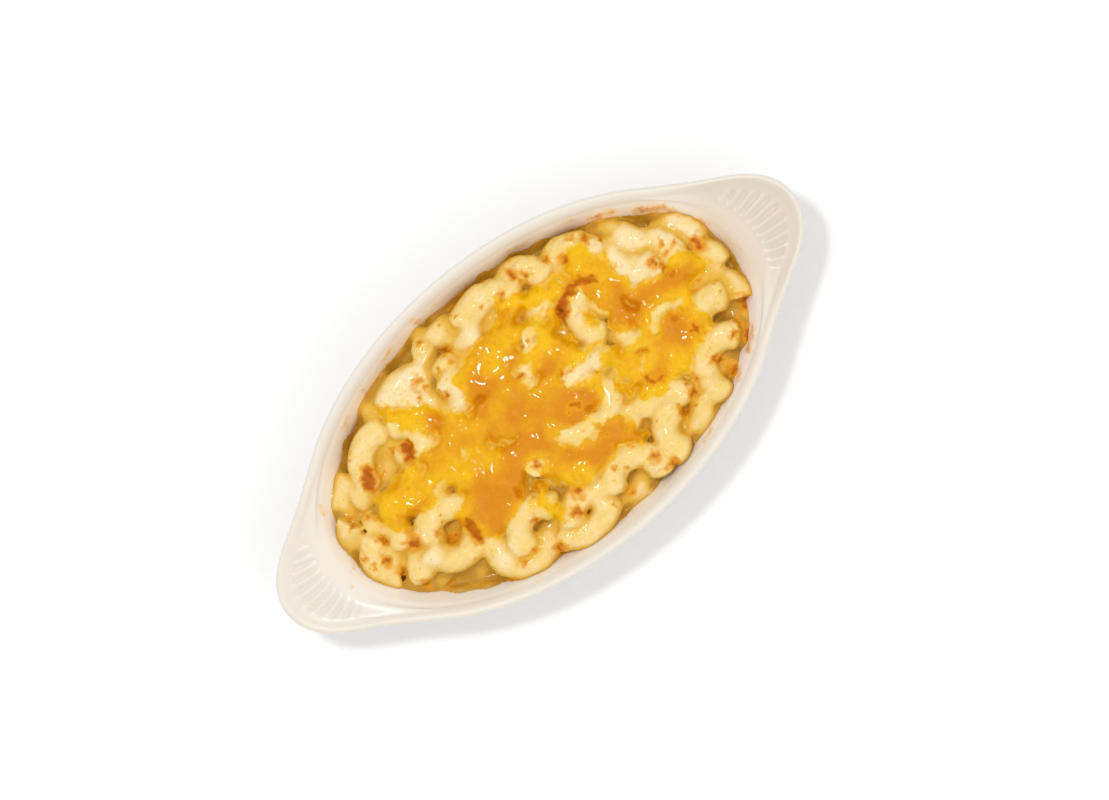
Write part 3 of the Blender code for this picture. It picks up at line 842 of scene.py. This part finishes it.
# The sauce creeps up the wall, ends in it, and stops below the rim
WALL_LINE = 22.6
WALL_LEAN = 0.88
COAT_TOP = 31.0
inner, steep_x, steep_y = wall_share(space_x, space_y, span_z)
in_wall = inner * (inner - 1.0) / np.maximum(np.hypot(steep_x, steep_y), 1e-4) * WALL_LEAN
wall_film = 0.5 - (space_z - WALL_LINE) * 0.4 + 0.5 * waves(space_x, space_y, 0.0, 9.0, 53)
sauce_field = melt(sauce_field, -in_wall - np.minimum(wall_film, 0.7), 2.0)
sauce_field = np.maximum(sauce_field, in_wall - 0.35)
sauce_field = np.maximum(sauce_field, space_z - COAT_TOP - 20.0 * (inner < 0.9))
sauce_field = np.maximum(sauce_field, COAT_LOW - space_z)


def skin(field):
    """Closed surface where the field crosses zero, in millimetres."""
    block = openvdb.FloatGrid(5.0)
    block.copyFromArray(np.ascontiguousarray(np.clip(field, -4.0, 4.0).astype(np.float32)))
    points, triangles, quads = block.convertToPolygons(isovalue=0.0, adaptivity=FLAT_JOIN)
    corner = np.array((span_x[0], span_y[0], span_z[0]))
    return points * VOXEL + corner, [quads[:, ::-1], triangles[:, ::-1]]


sauce_points, sauce_faces = skin(sauce_field)
sauce = build("cheese_sauce_coat", sauce_points, sauce_faces)
sauce_looks = {"Subsurface Weight": 0.15, "Subsurface Radius": (1.0, 0.6, 0.25),
               "Specular IOR Level": 0.18, "Coat Roughness": 0.1}
sauce_skin = food_skin("cheese_sauce_skin", sauce_looks, PALE_SAUCE, WARM_SAUCE, 0.40, 480.0)
sauce.data.materials.append(sauce_skin)
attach(sauce, "root")
core = bpy.data.objects["cheese_sauce"]
core.data.materials.clear()
core.data.materials.append(sauce_skin)

# ---------------------------------------------------------------------------
# Melted cheddar: grated cheese that has run together under the grill into a
# thin glossy sheet, draped over the elbows, with pale elbows standing through.
# ---------------------------------------------------------------------------
solid = np.minimum(sauce_field, pasta_field)
below = solid < 0.0
top_cell = len(span_z) - 1 - np.argmax(below[:, :, ::-1], axis=2)
top_cell = np.minimum(top_cell, len(span_z) - 2)
ii, jj = np.meshgrid(np.arange(len(span_x)), np.arange(len(span_y)), indexing="ij")
inner_value = solid[ii, jj, top_cell]
outer_value = solid[ii, jj, top_cell + 1]
surface = span_z[top_cell] + VOXEL * inner_value / np.minimum(inner_value - outer_value, -1e-6)
surface = np.where(below.any(axis=2), surface, COAT_LOW)


def spread(height, radius, pick):
    """Highest or lowest value within a round neighbourhood."""
    cells = int(radius / VOXEL)
    padded = np.pad(height, cells, mode="edge")
    result = height.copy()
    for di in range(-cells, cells + 1):
        for dj in range(-cells, cells + 1):
            if math.hypot(di, dj) * VOXEL <= radius:
                i, j = cells + di, cells + dj
                result = pick(result, padded[i:i + height.shape[0], j:j + height.shape[1]])
    return result


def soften(height, times):
    """Each value becomes the mean of its neighbours, a number of times."""
    for _ in range(times):
        padded = np.pad(height, 1, mode="edge")
        height = (padded[:-2, 1:-1] + padded[2:, 1:-1] + padded[1:-1, :-2] + padded[1:-1, 2:]) / 4.0
    return height


BRIDGE = 6.0
bridged = soften(spread(spread(surface, BRIDGE, np.maximum), BRIDGE, np.minimum), 45)
bridged = -melt(-bridged, -soften(surface, 6), 1.5)

# Strokes of cheese x, y to x, y with a radius, then the pale places in it
CHEESE = (
    (-60, 6, -20, 8, 5.5), (-60, 1, -42, 0, 4), (-38, 0, -36, -16, 8), (-36, -16, -25, -10, 9),
    (-20, 0, 10, 0, 14), (-10, 20, 20, 24, 8), (0, 10, 0, -20, 12), (-17, -22, -18, -32, 3.5),
    (-5, -22, 15, -24, 5.5), (17, -26, 20, -30, 3), (12, 33, 20, 28, 4), (42, 26, 44, 10, 6.5),
    (44, 5, 60, 0, 7), (60, 2, 70, 3, 4.5), (66, 6, 66, 6, 3), (30, -10, 55, -10, 9),
    (35, -18, 50, -16, 6), (20, 20, 33, 26, 4), (10, 20, 25, 10, 8), (-41, 29, -37, 26, 3),
    (-36, 26, -31, 20, 4.5), (-30, 18, -26, 14, 4), (-45, 33, -44, 31, 1.5),
)
BARE = (
    (17, 24, 24, 24, 2), (12, 18, 12, 18, 3.5), (4, 11, 4, 8, 2.5), (21, 13, 24, 11, 1),
    (28, 18, 27, 8, 3.5), (30, 6, 39, -3, 3), (15, 0, 25, -1, 3), (25, -8, 20, -16, 3),
    (51, -2, 57, -4, 2), (2, -14, 8, -17, 3.2), (-13, -15, -13, -15, 2.5), (-15, -25, -12, -29, 2.5),
    (27, -27, 32, -25, 3), (-57, -8, -41, -6, 4), (-14, -3, -22, 0, 0.8), (28.6, -13, 29, -12, 0.9),
    (34, -14, 36, -13, 0.8), (38, -12, 38.5, -10, 0.6), (47, -6, 51, -4, 0.9), (44, 8, 45, 6, 0.5),
    (33, 27, 34.5, 26, 0.5), (-30, 3, -29, 1, 0.7), (-45, 9, -43, 8, 0.4),
)


def cheese_mask(x, y):
    """How far inside the melted sheet a point of the plan lies, in millimetres."""
    flat = np.zeros_like(x)
    wx = x + 1.3 * waves(x, y, flat, 9.0, 21) + 0.8 * waves(x, y, flat, 3.6, 22)
    wx = wx + 0.4 * waves(x, y, flat, 1.9, 25)
    wy = y + 1.3 * waves(x, y, flat, 9.0, 23) + 0.8 * waves(x, y, flat, 3.6, 24)
    wy = wy + 0.4 * waves(x, y, flat, 1.9, 26)
    return np.minimum(-stroke_distance(wx, wy, CHEESE), stroke_distance(wx, wy, BARE))


# The sheet thins out to its edge, bridges the gaps between the elbows and
# has one small fold standing up in it
SHEET = 0.5
EDGE_THICKNESS = 0.3
OUTSIDE_EDGE = 1.6
UNDER_ELBOWS = 1.0
map_x, map_y = np.meshgrid(span_x, span_y, indexing="ij")
mask = cheese_mask(map_x, map_y)
inward = ease(clamp((mask + 0.8) / 4.0))
swelling = 1.0 + 0.35 * waves(map_x, map_y, 0.0, 7.0, 31)
thick = (SHEET * swelling + EDGE_THICKNESS) * inward ** 0.8 - EDGE_THICKNESS
drape = soften(surface, 2)
drape = drape + (bridged - drape) * inward
sheet_top = drape + thick + 0.16 * inward * waves(map_x, map_y, 0.0, 3.4, 33)
sheet_top = soften(sheet_top, 1)
sheet_top = sheet_top + 0.9 * np.exp(-((map_x - 36.0) / 4.0) ** 2 - ((map_y - 21.0) / 1.8) ** 2)

# Closed mesh: the top, the underside pushed into the elbows, and their border
keep = mask > -OUTSIDE_EDGE
cell_keep = keep[:-1, :-1] & keep[1:, :-1] & keep[:-1, 1:] & keep[1:, 1:]
corner_number = np.full(keep.shape, -1)
used = np.zeros(keep.shape, bool)
for di in (0, 1):
    for dj in (0, 1):
        used[di:di + cell_keep.shape[0], dj:dj + cell_keep.shape[1]] |= cell_keep
count = int(used.sum())
corner_number[used] = np.arange(count)
upper = np.stack([map_x[used], map_y[used], sheet_top[used]], axis=1)
lower = np.stack([map_x[used], map_y[used], np.minimum(surface, sheet_top)[used] - UNDER_ELBOWS], axis=1)
a = corner_number[:-1, :-1][cell_keep]
b = corner_number[1:, :-1][cell_keep]
c = corner_number[1:, 1:][cell_keep]
d = corner_number[:-1, 1:][cell_keep]
top_faces = np.stack([a, b, c, d], axis=1)
low_faces = np.stack([d, c, b, a], axis=1) + count
edges = np.concatenate([np.stack([a, b], 1), np.stack([b, c], 1), np.stack([c, d], 1), np.stack([d, a], 1)])
keys = edges[:, 0] * count + edges[:, 1]
back_keys = edges[:, 1] * count + edges[:, 0]
border = edges[~np.isin(keys, back_keys)]
rim_faces = np.stack([border[:, 1], border[:, 0], border[:, 0] + count, border[:, 1] + count], axis=1)
cheddar_points = np.concatenate([upper, lower])
cheddar = build("melted_cheddar_sheet", cheddar_points, [np.concatenate([top_faces, low_faces, rim_faces])])
cheddar_looks = {"Subsurface Weight": 0.12, "Subsurface Radius": (1.0, 0.4, 0.08),
                 "Specular IOR Level": 0.08, "Coat Roughness": 0.07}
cheddar.data.materials.append(
    food_skin("melted_cheddar_skin", cheddar_looks, PALE_SAUCE, WARM_SAUCE, 0.42, 400.0))
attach(cheddar, "root")
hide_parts("melted_cheddar")

# ---------------------------------------------------------------------------
# Browning: what the oven and the grill did to the food, and the light and
# shade painted on it. It is only colour: specks and streaks, a brown line at
# the wall that is partly painted shade of the gap there, deeper tones where
# the cheddar lies thick, painted shade where the food lies low between the
# elbows, and paler cream patches that are partly painted highlight.
# ---------------------------------------------------------------------------
# Browned places: x, y, size
TOASTED = (
    (-59.5, 19.5, 1.9), (-60.5, 17, 2.1), (-44.5, 17, 1.8), (-43.5, 15, 1.6), (-62, -9, 2.4),
    (-73.5, -7.5, 1.8), (-51, -16, 1.8), (-44, -15.5, 1.7), (-43.2, -18, 2.0), (-44.2, -21, 1.5),
    (-38, -37.5, 1.1), (-13, -36, 1.8), (-8, -31, 2.0), (5, -42, 1.4), (19.5, -38, 1.6), (23, -44, 1.4),
    (43, -30, 1.6), (56, -26, 1.8), (57.5, -14, 1.5), (58.5, -33, 2.0), (70, -27, 2.4), (76, -18, 2.2),
    (-72.3, -13.4, 1.4), (-26, 32.5, 1.5), (-21, 22, 1.3), (-12, 34, 1.6), (12, 18, 1.0), (2, 11, 1.4),
    (21, 39, 1.8), (25, 36, 1.6), (38, 32, 1.4), (48, 33, 1.5), (52, 29, 1.2), (60.5, 12, 1.8),
    (67, 15, 1.2), (76, 7, 2.2), (26.5, 20, 1.9), (29.5, 21.8, 1.6), (32.5, 22.8, 1.6), (35.8, 23.2, 1.6),
    (39.5, 22.2, 1.4), (-68, -22, 1.5), (-25, -29, 1.4), (36, -33, 1.4), (-13, -15, 1.3), (-18, 42, 1.2),
    (33, 36, 1.2), (44, 36, 1.1), (66, -24, 1.4), (-79, -2, 1.2), (-66, 5, 1.2), (-25.5, -41.5, 1.9),
    (-46, -39, 1.0), (-32, -37, 0.9), (-75, 9, 1.1), (-70, -1, 1.2), (47, -27, 1.2), (62, 9, 1.2),
    (-13, 30, 1.1), (15, 36.5, 1.3), (70, 12, 1.1),
)

# Places scorched darker: x, y to x, y, half width
SCORCHED = (
    (-59, 20, -60, 19, 0.7), (-60.5, 17.5, -61.5, 16, 0.8), (-43, 17.5, -44.5, 15, 0.9),
    (-42.5, -15, -43.5, -16.5, 0.4), (-43.5, -18.5, -44, -21.5, 0.6), (26.5, 18.5, 27.5, 20.5, 0.9),
    (27.5, 20.5, 32, 22.5, 0.2), (32, 22.5, 38, 22.8, -0.1), (38, 22.8, 41, 20.5, 0.2),
    (34, -17, 35.5, -19.5, -0.3), (35.5, -19.5, 39, -20, -0.8), (9, -7, 11, -8.5, -0.3),
    (57.3, -13.5, 57.5, -15, 0.1), (37, -8, 39.5, -8.5, -0.7),
)

# Places where the cheddar lies thick and deep orange, or thin and yellower
# where the last number is negative: x, y, size, depth
THICK = (
    (-5, 2, 16, 0.45), (-33, -14, 8, 0.6), (10, -8, 6, 0.5), (14, -23, 7, 0.55), (52, -12, 7, 0.4),
    (-35, 10, 9, 0.4), (48, 5, 8, 0.35), (-24, -10, 5, 0.3), (35, 21, 6, 0.4), (38, 12, 6, 0.25),
    (18, 31, 7, -0.5), (22, 3, 6, -0.35), (50, -17, 6, -0.25), (-36, -2, 7, -0.2), (16, 14, 6, -0.2),
    (-36, 23, 5, -0.2),
)

# Small dark flecks scattered over the whole heap
FLECK_COUNT = 110
FLECKS = []
for _ in range(FLECK_COUNT):
    out = math.sqrt(draw.random())
    around = draw.uniform(0.0, 2.0 * math.pi)
    FLECKS.append((81.0 * out * math.cos(around), 46.0 * out * math.sin(around), draw.uniform(0.35, 0.9)))


def toast_value(x, y, z):
    """How browned each point is: golden up to 0.5, then brown, scorched above 1."""
    wx = x + 0.7 * waves(x, y, z, 3.0, 41)
    wy = y + 0.7 * waves(x, y, z, 3.0, 42)
    total = np.zeros(len(x))
    for spot_x, spot_y, size in TOASTED + tuple(FLECKS):
        gone = ((wx - spot_x) ** 2 + (wy - spot_y) ** 2) / (size * size)
        total = np.maximum(total, np.exp(-gone * 0.7) * min(0.55 + size * 0.28, 1.2))
    scorched = clamp(1.0 - stroke_distance(wx, wy, SCORCHED) / 2.6)
    return np.maximum(total, 1.25 * scorched)


def at_points(grid, x, y):
    """Value of a plan grid under each point."""
    i = np.clip((x - span_x[0]) / VOXEL, 0.0, len(span_x) - 1.001)
    j = np.clip((y - span_y[0]) / VOXEL, 0.0, len(span_y) - 1.001)
    i0, j0 = i.astype(int), j.astype(int)
    fi, fj = i - i0, j - j0
    near = grid[i0, j0] * (1 - fj) + grid[i0, j0 + 1] * fj
    far = grid[i0 + 1, j0] * (1 - fj) + grid[i0 + 1, j0 + 1] * fj
    return near * (1 - fi) + far * fi


RIDGE_REACH = 3.3
ridges = soften(spread(np.maximum(surface, sheet_top), RIDGE_REACH, np.maximum), 6)
extra = soften(np.where(mask > 0.0, sheet_top - surface, 0.0), 10) * 0.17
for spot_x, spot_y, size, deep in THICK:
    extra = extra + deep * np.exp(-((map_x - spot_x) ** 2 + (map_y - spot_y) ** 2) / (size * size))
for piece, points in ((pasta, pasta_points), (sauce, sauce_points), (cheddar, cheddar_points)):
    x, y, z = points.T
    out_share = wall_share(x, y, z)[0]
    sunk = at_points(ridges, x, y) - z
    # Painted shade in the gap between the food and the wall
    shade_beside_wall = clamp((out_share - 0.92) / 0.05) * clamp((sunk - 1.0) / 3.0)
    paint(piece, "toast", toast_value(x, y, z))
    paint(piece, "cheese", clamp(at_points(mask, x, y) / 5.0 + 0.5))
    # Painted shade where the food lies low below its neighbours
    paint(piece, "crease_shade", clamp((sunk - 0.5) / 5.5 + 0.6 * shade_beside_wall))
    # Thick cream patches, their paler colour partly painted highlight
    paint(piece, "cream", cream_mask(x, y))
    paint(piece, "body", clamp(at_points(extra, x, y)))
    # Brown line at the wall: browning, and painted shade of the gap
    paint(piece, "wall", clamp((out_share - 0.978) / 0.02))
